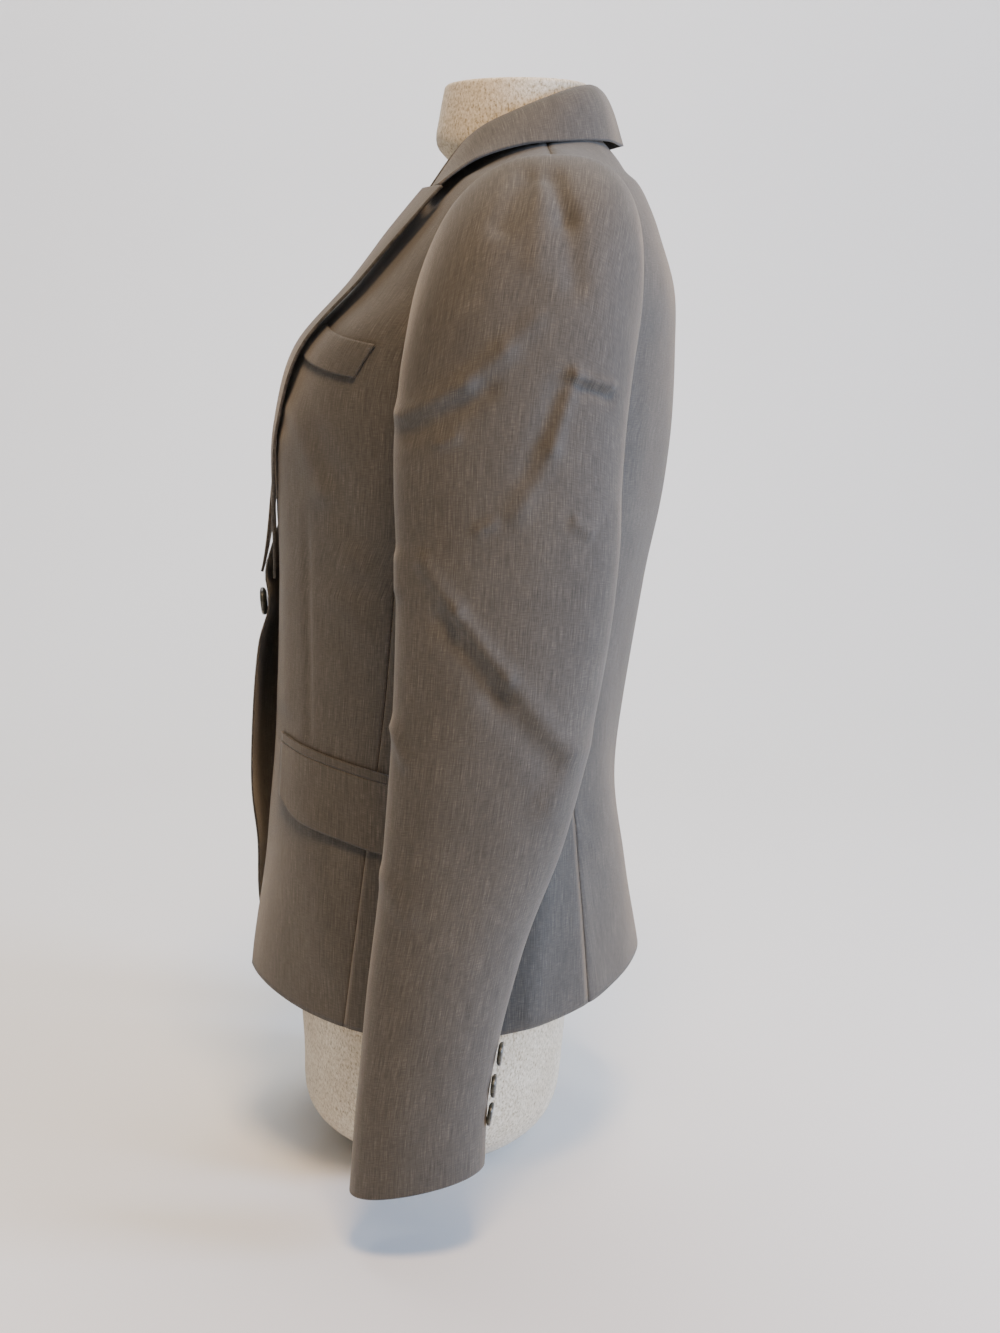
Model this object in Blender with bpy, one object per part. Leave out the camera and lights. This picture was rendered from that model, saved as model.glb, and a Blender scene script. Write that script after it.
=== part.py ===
"""A single breasted blazer worn by a limbless dress form.

The wearer faces -Y, the wearer's left is +X, and the form stands on Z = 0 with the
middle of its flat base at the origin.  Everything is in metres.

The garment is a thin wall of suiting.  The body panels share one surface, given by
level sections from the hem up to the neck; the sleeves are lofted through sections
from the armhole down to the cuff; the lapels, the pockets and the front buttons take
their places from the body surface, moved out.
"""
import bpy
import bmesh
from collections import namedtuple
from math import acos, asin, cos, pi, sin
from mathutils import Vector

# ---------------------------------------------------------------- driving sizes
CLOTH = 0.0015            # suiting with its fusing, one wall
SEAM = 0.0003             # gap left between pieces that are sewn together
SEAT = 0.0009             # gap under what lies on a panel, on the true curve
TINY = 1e-4               # step for slopes

HEM_Z = 0.134             # height of the hem above the base of the form
ARMPIT_Z = 0.485          # bottom of the armhole
JUNCTION_Z = 0.505        # where the side seams run into the armhole
SHOULDER_Z = 0.6655       # top of the armhole, on the shoulder seam
BREAK_Z = 0.400           # where the lapel starts to turn back
BUTTON_Z = 0.383          # the fastened front button
NECKLINE_SPREAD = 0.008   # the neckline widens by this from the gorge to the shoulder
OVERLAP = 0.020           # each front passes the centre line by this much
LAP_END = 0.065           # the upper front is back on the body this far from the centre
LAP_EASE = 0.040          # over this width

BUTTON_D = 0.020          # front button
BUTTON_SEAT = 0.0022      # its shank, over the curve of the lapped front
CUFF_BUTTON_D = 0.015
CUFF_BUTTON_PITCH = 0.0185
CUFF_BUTTONS = 3

# Level sections of the body: height, foremost and rearmost Y, half width, squareness
# (2 is an ellipse), how much higher the section runs at the back than at the front, and
# how much it dips at the sides.
Section = namedtuple("Section", "z front back half_width power rise dip")
BODY = [Section(*row) for row in (
    (HEM_Z, -0.134, 0.147, 0.184, 2.00, 0.004, 0.018),
    (0.200, -0.121, 0.137, 0.171, 2.15, 0.000, 0.005),
    (0.262, -0.115, 0.129, 0.156, 2.20, 0.000, 0.000),
    (0.320, -0.111, 0.135, 0.150, 2.25, 0.000, 0.000),
    (0.400, -0.107, 0.148, 0.156, 2.30, 0.000, 0.000),
    (0.460, -0.106, 0.159, 0.164, 2.40, 0.000, 0.000),
    (0.510, -0.104, 0.165, 0.169, 2.50, 0.000, 0.000),
    (0.560, -0.089, 0.167, 0.173, 2.50, 0.000, 0.000),
    (0.600, -0.050, 0.166, 0.178, 2.50, 0.000, 0.000),
    (0.635, -0.018, 0.156, 0.183, 2.40, 0.000, 0.000),
    (0.655, -0.001, 0.148, 0.185, 2.30, 0.000, 0.000),
    (0.668, 0.010, 0.142, 0.180, 2.10, 0.000, 0.000),
    (0.677, 0.018, 0.136, 0.140, 2.00, 0.000, 0.000),
    (0.685, 0.025, 0.129, 0.100, 2.00, 0.004, 0.000),
    (0.692, 0.032, 0.118, 0.062, 2.00, 0.011, 0.000),
)]
NECK = len(BODY) - 1

# Side seams: the Y of the seam before and behind the side panel, by height.
Seam = namedtuple("Seam", "z fore aft")
SIDE_SEAMS = [Seam(*row) for row in (
    (HEM_Z, -0.061, 0.102),
    (0.233, -0.046, 0.096),
    (0.336, -0.032, 0.090),
    (JUNCTION_Z, -0.0165, 0.0912),
)]

# The armhole on the body: an upright oval that leans back as it rises.
ARMHOLE_MID_Z = 0.560
ARMHOLE_HALF_DEPTH = 0.068
ARMHOLE_POWER = 2.6
ARMHOLE_LEAN = 0.23
ARMHOLE_MID_Y = 0.050     # at ARMHOLE_MID_Z
SLEEVE_SEAT = 0.0019      # gap under the sleeve head, which stands on the armhole

# Front edge of each front below the break: how far past the centre it lies.
Edge = namedtuple("Edge", "z x")
FRONT_EDGE = [Edge(*row) for row in (
    (HEM_Z, -0.050),
    (0.165, -0.030),
    (0.205, -0.010),
    (0.250, 0.010),
    (0.300, OVERLAP),
    (BREAK_Z, OVERLAP),
)]
# The upper front stands off the lower one by this much under the button.
Stand = namedtuple("Stand", "z out")
STAND_OFF = [Stand(*row) for row in (
    (HEM_Z, 0.003),
    (0.200, 0.008),
    (0.260, 0.015),
    (0.310, 0.016),
    (0.355, 0.014),
    (BUTTON_Z, 0.0080),
    (0.410, 0.013),
)]

# Lapel: the roll line and the outer edge, in the front view, from the break up to the
# gorge, with how far the roll and the edge stand out from the chest.
Lapel = namedtuple("Lapel", "roll_x roll_z edge_x edge_z roll_out edge_out")
LAPEL = [Lapel(*row) for row in (
    (0.0180, 0.402, 0.0205, 0.4015, 0.0030, 0.0030),
    (0.0240, 0.440, 0.0370, 0.4300, 0.0030, 0.0035),
    (0.0310, 0.480, 0.0540, 0.4680, 0.0030, 0.0040),
    (0.0370, 0.520, 0.0690, 0.5080, 0.0030, 0.0045),
    (0.0430, 0.560, 0.0830, 0.5500, 0.0045, 0.0060),
    (0.0470, 0.600, 0.0980, 0.5940, 0.0085, 0.0080),
    (0.0490, 0.630, 0.1070, 0.6290, 0.0125, 0.0085),
    (0.0500, 0.657, 0.1130, 0.6580, 0.0135, 0.0070),
)]

# Collar, from the middle of the back round to the gorge: the seam to the neckline, the
# crease that it turns over on, and the outer edge of the fall.  The gorge itself is
# taken from the lapel's top edge.
Collar = namedtuple("Collar", "seam_x seam_y seam_z roll_x roll_y roll_z edge_x edge_y edge_z")
COLLAR = [Collar(*row) for row in (
    (0.0000, 0.1160, 0.7060, 0.0000, 0.1145, 0.7385, 0.0000, 0.1335, 0.6995),
    (0.0350, 0.1070, 0.7030, 0.0340, 0.1060, 0.7365, 0.0430, 0.1200, 0.6990),
    (0.0540, 0.0860, 0.6990, 0.0545, 0.0840, 0.7285, 0.0730, 0.0920, 0.6965),
    (0.0570, 0.0600, 0.6960, 0.0590, 0.0550, 0.7170, 0.0870, 0.0600, 0.6935),
    (0.0510, 0.0260, 0.6880, 0.0560, 0.0240, 0.7000, 0.0950, 0.0300, 0.6840),
)]
NOTCH = 0.86              # part of the lapel's top edge that the collar is sewn to
GORGE_GAP = 0.0012
TUCK_Y = 0.058            # middle of the neck, towards which the stand is tucked in
COLLAR_CLOTH = 0.0018

# Sleeve sections from the armhole to the cuff: the outermost and innermost points of
# each, half its depth, its squareness and how much it climbs from front to back.
Sleeve = namedtuple("Sleeve", "out_x out_y out_z in_x in_y in_z half_depth power rake")
SLEEVE = [Sleeve(*row) for row in (
    (0.181, 0.074, 0.6655, 0.166, 0.033, 0.485, 0.0680, 2.6, 0.00),
    (0.203, 0.074, 0.6760, 0.171, 0.035, 0.480, 0.0690, 2.5, 0.00),
    (0.238, 0.069, 0.6520, 0.177, 0.037, 0.474, 0.0695, 2.4, 0.00),
    (0.260, 0.059, 0.6080, 0.181, 0.039, 0.468, 0.0695, 2.3, 0.00),
    (0.269, 0.051, 0.5550, 0.184, 0.041, 0.461, 0.0690, 2.3, 0.00),
    (0.272, 0.046, 0.5000, 0.185, 0.043, 0.448, 0.0680, 2.3, 0.00),
    (0.272, 0.045, 0.4400, 0.186, 0.044, 0.425, 0.0670, 2.3, 0.00),
    (0.270, 0.038, 0.3500, 0.187, 0.038, 0.3500, 0.0630, 2.3, 0.06),
    (0.268, 0.024, 0.2570, 0.189, 0.024, 0.2570, 0.0570, 2.3, 0.16),
    (0.268, 0.005, 0.1780, 0.193, 0.005, 0.1780, 0.0480, 2.2, 0.22),
    (0.268, -0.009, 0.1000, 0.198, -0.009, 0.1000, 0.0425, 2.2, 0.20),
    (0.267, -0.013, 0.0480, 0.200, -0.013, 0.0480, 0.0425, 2.2, 0.20),
)]
CUFF = len(SLEEVE) - 1
SETTLE = 2.0              # sections over which the sleeve leaves the armhole's own form
FRONT_SLEEVE_SEAM = 1.95  # angles round the sleeve, from outside towards the front
BACK_SLEEVE_SEAM = -1.75

# Pockets, by X along the front and height.
POCKET_FORE_Y = -0.103    # hip pocket: its front end, then its rear end, as Y
POCKET_AFT_Y = 0.006
POCKET_FORE_Z = 0.3010
POCKET_AFT_Z = 0.2780
JET_H = 0.006
FLAP_H = 0.044
FLAP_CORNER = 0.018
WELT_FORE_X = 0.072
WELT_AFT_X = 0.153
WELT_FORE_Z = 0.5775
WELT_AFT_Z = 0.5628
WELT_H = 0.021

# Dress form: level sections from the flat base to the top of the neck.
FORM = [Section(*row, 0.0, 0.0) for row in (
    (0.0000, -0.055, 0.055, 0.080, 2.0),
    (0.0080, -0.073, 0.073, 0.110, 2.0),
    (0.0300, -0.093, 0.088, 0.139, 2.1),
    (0.0700, -0.095, 0.093, 0.152, 2.2),
    (0.1300, -0.098, 0.098, 0.157, 2.2),
    (0.2000, -0.097, 0.106, 0.149, 2.2),
    (0.2700, -0.092, 0.110, 0.130, 2.2),
    (0.3300, -0.090, 0.119, 0.124, 2.2),
    (0.4000, -0.092, 0.136, 0.136, 2.3),
    (0.4600, -0.097, 0.149, 0.147, 2.4),
    (0.5100, -0.094, 0.157, 0.154, 2.4),
    (0.5600, -0.072, 0.161, 0.160, 2.4),
    (0.6000, -0.036, 0.160, 0.166, 2.4),
    (0.6300, -0.008, 0.151, 0.171, 2.3),
    (0.6500, 0.008, 0.143, 0.168, 2.1),
    (0.6630, 0.018, 0.136, 0.150, 2.0),
    (0.6710, 0.023, 0.129, 0.118, 2.0),
    (0.6780, 0.024, 0.121, 0.086, 2.0),
    (0.6860, 0.016, 0.1125, 0.0580, 2.0),
    (0.7000, 0.004, 0.108, 0.0518, 2.0),
    (0.7200, 0.006, 0.108, 0.0505, 2.0),
    (0.7400, 0.010, 0.109, 0.0495, 2.0),
)]
FORM_SIDES = 32


# ---------------------------------------------------------------- sections
def blend_rows(rows, t):
    """The row at the whole or part number t, on a smooth curve through all the rows."""
    last = len(rows) - 1
    i = min(int(max(t, 0.0)), last - 1)
    f = t - i
    p0, p1, p2, p3 = (rows[min(max(k, 0), last)] for k in (i - 1, i, i + 1, i + 2))
    return type(p1)(*(
        b + 0.5 * f * (c - a + f * (2 * a - 5 * b + 4 * c - d + f * (3 * (b - c) + d - a)))
        for a, b, c, d in zip(p0, p1, p2, p3)))


def row_number(rows, z, column="z"):
    """The row number t at which a column that rises row by row reaches the value z."""
    low, high = 0.0, len(rows) - 1.0
    for _ in range(40):
        mid = (low + high) / 2
        if getattr(blend_rows(rows, mid), column) < z:
            low = mid
        else:
            high = mid
    return (low + high) / 2


def at_height(rows, z, column="z"):
    return blend_rows(rows, row_number(rows, z, column))


def power(value, exponent):
    return abs(value) ** exponent * (1 if value >= 0 else -1)


def ring_point(section, angle):
    """A point on a level section: angle 0 in front, pi/2 at the wearer's left."""
    e = 2 / section.power
    depth = (section.back - section.front) / 2
    mid = (section.back + section.front) / 2
    return Vector((section.half_width * power(sin(angle), e),
                   mid - depth * power(cos(angle), e),
                   section.z + section.rise * (1 - cos(angle)) / 2
                   - section.dip * sin(angle) ** 2))


def body_point(angle, t, out=0.0):
    """A point on the body of the garment, moved out along the surface's normal."""
    point = ring_point(blend_rows(BODY, t), angle)
    if not out:
        return point
    e = TINY
    round_ = (ring_point(blend_rows(BODY, t), angle + e)
              - ring_point(blend_rows(BODY, t), angle - e))
    up = ring_point(blend_rows(BODY, t + e), angle) - ring_point(blend_rows(BODY, t - e), angle)
    return point + round_.cross(up).normalized() * out


def angle_at_x(t, x):
    """The angle, on the front half, of the point of section t with this X."""
    section = blend_rows(BODY, t)
    part = max(-1.0, min(1.0, x / section.half_width))
    return asin(power(part, section.power / 2))


def angle_at_y(t, y):
    """The angle, on the wearer's left, of the point of section t with this Y."""
    section = blend_rows(BODY, t)
    depth = (section.back - section.front) / 2
    part = ((section.back + section.front) / 2 - y) / depth
    return acos(power(max(-1.0, min(1.0, part)), section.power / 2))


def front_point(x, z, out):
    """A point of the front with this X and height, moved out."""
    t = row_number(BODY, z)
    return body_point(angle_at_x(t, x), t, out)


def side_point(y, z, out):
    """A point of the wearer's left side with this Y and height, moved out."""
    t = row_number(BODY, z)
    return body_point(angle_at_y(t, y), t, out)


def armhole_half_depth(z):
    reach = (SHOULDER_Z if z > ARMHOLE_MID_Z else ARMPIT_Z) - ARMHOLE_MID_Z
    part = min(1.0, abs((z - ARMHOLE_MID_Z) / reach))
    return ARMHOLE_HALF_DEPTH * (1 - part ** ARMHOLE_POWER) ** (1 / ARMHOLE_POWER)


def armhole_mid(z):
    return ARMHOLE_MID_Y + ARMHOLE_LEAN * (z - ARMHOLE_MID_Z)


# ---------------------------------------------------------------- meshes
def material(name, colour, roughness):
    made = bpy.data.materials.new(name)
    made.use_nodes = True
    shader = made.node_tree.nodes["Principled BSDF"]
    shader.inputs["Base Color"].default_value = (*colour, 1)
    shader.inputs["Roughness"].default_value = roughness
    return made


def add_object(name, bm, finish):
    bmesh.ops.recalc_face_normals(bm, faces=bm.faces[:])
    if bm.calc_volume(signed=True) < 0:
        bmesh.ops.reverse_faces(bm, faces=bm.faces[:])
    mesh = bpy.data.meshes.new(name)
    bm.to_mesh(mesh)
    bm.free()
    mesh.materials.append(finish)
    made = bpy.data.objects.new(name, mesh)
    parts.objects.link(made)
    return made


def wall(name, place, across, along, finish, mirrored=False):
    """A slab of across by along cells, laid on a surface.

    place(u, v, w) gives a point for u across and v along the piece, both 0 to 1, and w
    0 on the outer face and 1 on the inner face.
    """
    bm = bmesh.new()
    bmesh.ops.create_grid(bm, x_segments=across, y_segments=along, size=0.5)
    raised = bmesh.ops.extrude_face_region(bm, geom=bm.faces[:])["geom"]
    bmesh.ops.translate(bm, vec=(0, 0, 1),
                        verts=[g for g in raised if isinstance(g, bmesh.types.BMVert)])
    for vert in bm.verts:
        u, v, w = vert.co
        vert.co = place(u + 0.5, v + 0.5, w)
        if mirrored:
            vert.co.x = -vert.co.x
    return add_object(name, bm, finish)


def thick(surface, thickness=CLOTH):
    """The place function of a wall whose outer face is surface(u, v).

    The wall goes inwards, or outwards where v runs the other way round the body.
    """
    def place(u, v, w):
        point = surface(u, v)
        if w < 0.5:
            return point
        e = 1e-3
        across = surface(u + e, v) - surface(u - e, v)
        along = surface(u, v + e) - surface(u, v - e)
        return point - across.cross(along).normalized() * thickness
    return place


def button(name, centre, normal, diameter, height):
    """A flat round button with a rounded rim, its back at centre."""
    bm = bmesh.new()
    bmesh.ops.create_cone(bm, cap_ends=True, segments=20, radius1=diameter / 2,
                          radius2=diameter / 2, depth=height)
    rims = [e for e in bm.edges if abs(e.verts[0].co.z - e.verts[1].co.z) < height / 2]
    bmesh.ops.bevel(bm, geom=rims, offset=height * 0.3, segments=1, profile=0.5,
                    affect="EDGES", material=-1)
    turn = Vector((0, 0, 1)).rotation_difference(normal).to_matrix()
    for vert in bm.verts:
        vert.co = turn @ (vert.co + Vector((0, 0, height / 2))) + centre
    return add_object(name, bm, polished_horn)


# ---------------------------------------------------------------- body panels
LEVELS_TO_JUNCTION = 11
LEVELS_TO_SHOULDER = 7
LEVELS_TO_NECK = 4
LEVELS = LEVELS_TO_JUNCTION + LEVELS_TO_SHOULDER + LEVELS_TO_NECK
JUNCTION_T = row_number(BODY, JUNCTION_Z)
SHOULDER_T = row_number(BODY, SHOULDER_Z)


def level(v):
    """Section number at part v of a panel's length: hem, junction, shoulder, neck."""
    step = v * LEVELS
    if step <= LEVELS_TO_JUNCTION:
        return JUNCTION_T * step / LEVELS_TO_JUNCTION
    step -= LEVELS_TO_JUNCTION
    if step <= LEVELS_TO_SHOULDER:
        return JUNCTION_T + (SHOULDER_T - JUNCTION_T) * step / LEVELS_TO_SHOULDER
    step -= LEVELS_TO_SHOULDER
    return SHOULDER_T + (NECK - SHOULDER_T) * step / LEVELS_TO_NECK


def side_edge(t, fore):
    """Angle at which a front (fore) or back panel ends at the side, at section t."""
    z = blend_rows(BODY, t).z
    half = SEAM / 2 * (-1 if fore else 1)
    if t < JUNCTION_T:
        seam = at_height(SIDE_SEAMS, z)
        return angle_at_y(t, (seam.fore if fore else seam.aft) + half)
    if t < SHOULDER_T:
        reach = armhole_half_depth(z) * (-1 if fore else 1)
        return angle_at_y(t, armhole_mid(z) + reach + half)
    section = blend_rows(BODY, t)
    return angle_at_y(t, (section.front + section.back) / 2 + half)


def front_edge_x(z):
    """X of a front's own edge on its own side of the centre: negative past it."""
    if z < BREAK_Z:
        return -at_height(FRONT_EDGE, z).x
    roll = at_height(LAPEL, min(z, LAPEL[-1].roll_z), "roll_z")
    blend = min(1.0, (z - BREAK_Z) / (LAPEL[1].roll_z - BREAK_Z))
    above = max(0.0, (z - LAPEL[-1].roll_z) / (BODY[-1].z - LAPEL[-1].roll_z))
    return -OVERLAP + (roll.roll_x + OVERLAP) * blend + NECKLINE_SPREAD * above


def lap(x, z, upper):
    """How far a front stands out near the centre, for its X on its own side."""
    near = max(0.0, min(1.0, (LAP_END - x) / LAP_EASE))
    ease = near * near * (3 - 2 * near)
    if z > BREAK_Z:
        rise = min(1.0, (z - BREAK_Z) / 0.05)
        stand = at_height(LAPEL, min(z, LAPEL[-1].roll_z), "roll_z").roll_out * ROLL_SHARE * rise
        low = at_height(STAND_OFF, min(z, STAND_OFF[-1].z)).out * (1 - rise) if upper else 0.0
        roll_x = at_height(LAPEL, min(z, LAPEL[-1].roll_z), "roll_z").roll_x
        fall = max(0.0, 1 - max(0.0, x - roll_x) / 0.03)
        return stand * fall * fall + low * ease
    return at_height(STAND_OFF, z).out * ease if upper else 0.0


def front_surface(upper):
    def surface(u, v):
        t = level(max(0.0, min(1.0, v)))
        z = blend_rows(BODY, t).z
        inner = angle_at_x(t, front_edge_x(z))
        outer = side_edge(t, True)
        angle = inner + (outer - inner) * u
        x = ring_point(blend_rows(BODY, t), angle).x
        return body_point(angle, t, lap(x, z, upper))
    return surface


def side_surface(u, v):
    t_low = level(v * LEVELS_TO_JUNCTION / LEVELS)
    seam = at_height(SIDE_SEAMS, blend_rows(BODY, t_low).z)
    y = seam.fore + SEAM / 2 + (seam.aft - seam.fore - SEAM) * u
    # the top edge follows the bottom of the armhole
    sag = max(0.0, 1 - (2 * u - 1) ** 2) * (JUNCTION_Z - ARMPIT_Z) * v ** 4
    t = row_number(BODY, blend_rows(BODY, t_low).z - sag)
    return body_point(angle_at_y(t, y), t)


def back_surface(u, v):
    t = level(max(0.0, min(1.0, v)))
    outer = side_edge(t, False)
    inner = pi - angle_at_x(t, SEAM / 2)
    return body_point(inner + (outer - inner) * u, t)


def body_panels(side, mirrored):
    upper = mirrored
    wall("front_" + side, thick(front_surface(upper)), 9, LEVELS, suiting, mirrored)
    wall("side_panel_" + side, thick(side_surface), 7, LEVELS_TO_JUNCTION, suiting, mirrored)
    wall("back_" + side, thick(lambda u, v: back_surface(1 - u, v)), 8, LEVELS, suiting, mirrored)


# ---------------------------------------------------------------- sleeves
def sleeve_ring(row, angle):
    outer = Vector((row.out_x, row.out_y, row.out_z))
    inner = Vector((row.in_x, row.in_y, row.in_z))
    e = 2 / row.power
    forward = row.half_depth * power(sin(angle), e)
    return ((outer + inner) / 2 + (outer - inner) / 2 * power(cos(angle), e)
            + Vector((0, -forward, -forward * row.rake)))


def armhole_point(angle, out):
    """The armhole's edge at an angle round the sleeve, moved out from the body."""
    e = 2 / ARMHOLE_POWER
    lift = power(cos(angle), e)
    reach = SHOULDER_Z - ARMHOLE_MID_Z if lift > 0 else ARMHOLE_MID_Z - ARMPIT_Z
    z = ARMHOLE_MID_Z + lift * reach
    return side_point(armhole_mid(z) - ARMHOLE_HALF_DEPTH * power(sin(angle), e), z, out)


def sleeve_point(angle, t):
    point = sleeve_ring(blend_rows(SLEEVE, t), angle)
    if t < SETTLE:
        pull = armhole_point(angle, CLOTH + SLEEVE_SEAT) - sleeve_ring(SLEEVE[0], angle)
        point += pull * (1 - t / SETTLE) ** 2
    return point


def sleeve_surface(start, end):
    def surface(u, v):
        return sleeve_point(start + (end - start) * u, CUFF * (1 - v))
    return surface


def sleeve_normal(angle, t):
    e = 1e-3
    around = sleeve_point(angle - e, t) - sleeve_point(angle + e, t)
    up = sleeve_point(angle, t - e) - sleeve_point(angle, t + e)
    return around.cross(up).normalized()


def sleeves(side, mirrored):
    gap = SEAM / 2 / 0.04     # half a seam as an angle, at the sleeve's least radius
    wall("topsleeve_" + side,
         thick(sleeve_surface(FRONT_SLEEVE_SEAM - gap, BACK_SLEEVE_SEAM + gap)),
         12, 20, suiting, mirrored)
    wall("undersleeve_" + side,
         thick(sleeve_surface(BACK_SLEEVE_SEAM + 2 * pi - gap, FRONT_SLEEVE_SEAM + gap)),
         7, 20, suiting, mirrored)
    flip = -1 if mirrored else 1
    angle = -1.45
    for number in range(CUFF_BUTTONS):
        t = CUFF - 0.70 - number * CUFF_BUTTON_PITCH / 0.065
        normal = sleeve_normal(angle, t)
        centre = sleeve_point(angle, t) + normal * SEAT
        for vector in (normal, centre):
            vector.x *= flip
        button(f"cuff_button_{side}_{number + 1}", centre, normal, CUFF_BUTTON_D, 0.003)


# ---------------------------------------------------------------- lapels and collar
LAPEL_STEPS = 12
LAPEL_LIFT = 0.0116       # how much more the upper front's lapel bulges at its break
LAPEL_CLOTH = 0.002
LAPEL_SEAT = 0.00074      # gap under the lapel where it leaves the roll
ROLL_SHARE = 0.5          # part of the roll's height that the front itself rises


def lapel_surface(extra):
    """The turned back lapel: u from the roll to the outer edge, v from break to gorge."""
    def surface(u, v):
        row = blend_rows(LAPEL, v * (len(LAPEL) - 1))
        x = row.roll_x + SEAM + (row.edge_x - row.roll_x) * u
        z = row.roll_z + (row.edge_z - row.roll_z) * u
        turn = min(1.0, max(0.0, u) / 0.25)
        start = row.roll_out * ROLL_SHARE + LAPEL_SEAT
        out = start + (row.roll_out - start) * turn * (2 - turn)
        out += (row.edge_out - row.roll_out) * u
        return front_point(x, z, LAPEL_CLOTH + out + extra * (1 - v) ** 2)
    return surface


def gorge_row():
    """The collar's last section, along the top edge of the lapel."""
    clear = Vector((0.0, GORGE_GAP, GORGE_GAP))
    roll, edge = (lapel_surface(0.0)(u, 1.0) + clear for u in (0.0, NOTCH))
    seam = roll + Vector((-0.003, 0.006, 0.0015))
    return Collar(*seam, *roll, *edge)


def collar_edge(v):
    """The collar's row at part v of its whole length, and the side that it is on."""
    s = 2 * v - 1
    rows = COLLAR + [gorge_row()]
    return blend_rows(rows, min(1.0, abs(s)) * (len(rows) - 1)), (1 if s >= 0 else -1)


def collar_curve(v, first, last):
    row, side = collar_edge(v)
    ends = [Vector((getattr(row, p + "_x") * side, getattr(row, p + "_y"),
                    getattr(row, p + "_z"))) for p in (first, last)]
    return ends


def fall_surface(u, v):
    roll, edge = collar_curve(v, "roll", "edge")
    out = Vector((edge.x - roll.x, edge.y - roll.y, 0.0)).normalized()
    belly = sin(pi * max(0.0, min(1.0, u)) ** 0.6) * 0.0035
    return roll + (edge - roll) * u + out * belly + Vector((0, 0, belly * 0.4))


def stand_surface(u, v):
    seam, roll = collar_curve(v, "seam", "roll")
    tuck = Vector((-roll.x, TUCK_Y - roll.y, 0)).normalized() * SEAM * 2
    return seam + (roll + tuck - Vector((0, 0, SEAM)) - seam) * u


def collar():
    wall("collar", thick(fall_surface, -COLLAR_CLOTH), 4, 26, suiting)
    wall("collar_stand", thick(stand_surface), 2, 26, suiting)


# ---------------------------------------------------------------- pockets
def pocket_z(part):
    return POCKET_FORE_Z + (POCKET_AFT_Z - POCKET_FORE_Z) * part


def pocket_surface(top, height, out, corner=0.0):
    """A strip on the body along the hip pocket: u along it, v from bottom to top."""
    def surface(u, v):
        y = POCKET_FORE_Y + (POCKET_AFT_Y - POCKET_FORE_Y) * u
        end = max(0.0, 1 - min(u, 1 - u) * 0.115 / corner) if corner else 0.0
        bottom = height - corner * 0.45 * end * end
        z = pocket_z(u) - top - bottom * (1 - v)
        return side_point(y, z, out)
    return surface


def pockets(side, mirrored):
    wall("pocket_jet_" + side, thick(pocket_surface(0.0, JET_H, CLOTH + SEAT)), 10, 1,
         suiting, mirrored)
    wall("pocket_flap_" + side,
         thick(pocket_surface(JET_H + SEAM, FLAP_H, CLOTH + SEAT, FLAP_CORNER)), 12, 3,
         suiting, mirrored)


def welt_surface(u, v):
    x = WELT_FORE_X + (WELT_AFT_X - WELT_FORE_X) * u - 0.006 * (1 - v) * u
    z = WELT_FORE_Z + (WELT_AFT_Z - WELT_FORE_Z) * u - WELT_H * (1 - v)
    return front_point(x, z, CLOTH + SEAT)


# ---------------------------------------------------------------- dress form
def dress_form():
    bm = bmesh.new()
    rings = []
    for section in FORM:
        ring = [bm.verts.new(ring_point(section, 2 * pi * k / FORM_SIDES))
                for k in range(FORM_SIDES)]
        rings.append([bm.edges.new((ring[k - 1], ring[k])) for k in range(FORM_SIDES)])
    for below, above in zip(rings, rings[1:]):
        bmesh.ops.bridge_loops(bm, edges=below + above)
    for ring in (rings[0], rings[-1]):
        bmesh.ops.contextual_create(bm, geom=ring)
    add_object("dress_form", bm, linen)


# ---------------------------------------------------------------- the blazer on its form
for old in list(bpy.data.objects):
    bpy.data.objects.remove(old, do_unlink=True)
parts = bpy.data.collections.new("blazer_on_dress_form")
bpy.context.scene.collection.children.link(parts)
suiting = material("wool_suiting", (0.16, 0.14, 0.12), 0.85)
polished_horn = material("polished_horn", (0.05, 0.05, 0.045), 0.35)
linen = material("linen_jersey", (0.72, 0.66, 0.56), 0.9)

dress_form()
for side, mirrored in (("left", False), ("right", True)):
    body_panels(side, mirrored)
    sleeves(side, mirrored)
    wall("lapel_" + side, thick(lapel_surface(LAPEL_LIFT if mirrored else 0.0), LAPEL_CLOTH),
         6, LAPEL_STEPS, suiting, mirrored)
    pockets(side, mirrored)
collar()
wall("breast_welt", thick(welt_surface), 6, 1, suiting)
button("front_button", front_point(0.0, BUTTON_Z, lap(0.0, BUTTON_Z, True) + BUTTON_SEAT),
       Vector((0, -1, 0)), BUTTON_D, 0.004)
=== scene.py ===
"""The looks of a single breasted blazer of grey wool suiting on a linen dress form.

Metres, +Z up, the wearer facing -Y with the left side at +X.
"""
from collections import namedtuple
from functools import lru_cache
from math import acos, asin, cos, exp, pi, radians, sin

import bmesh
import bpy
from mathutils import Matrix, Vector, noise


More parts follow.
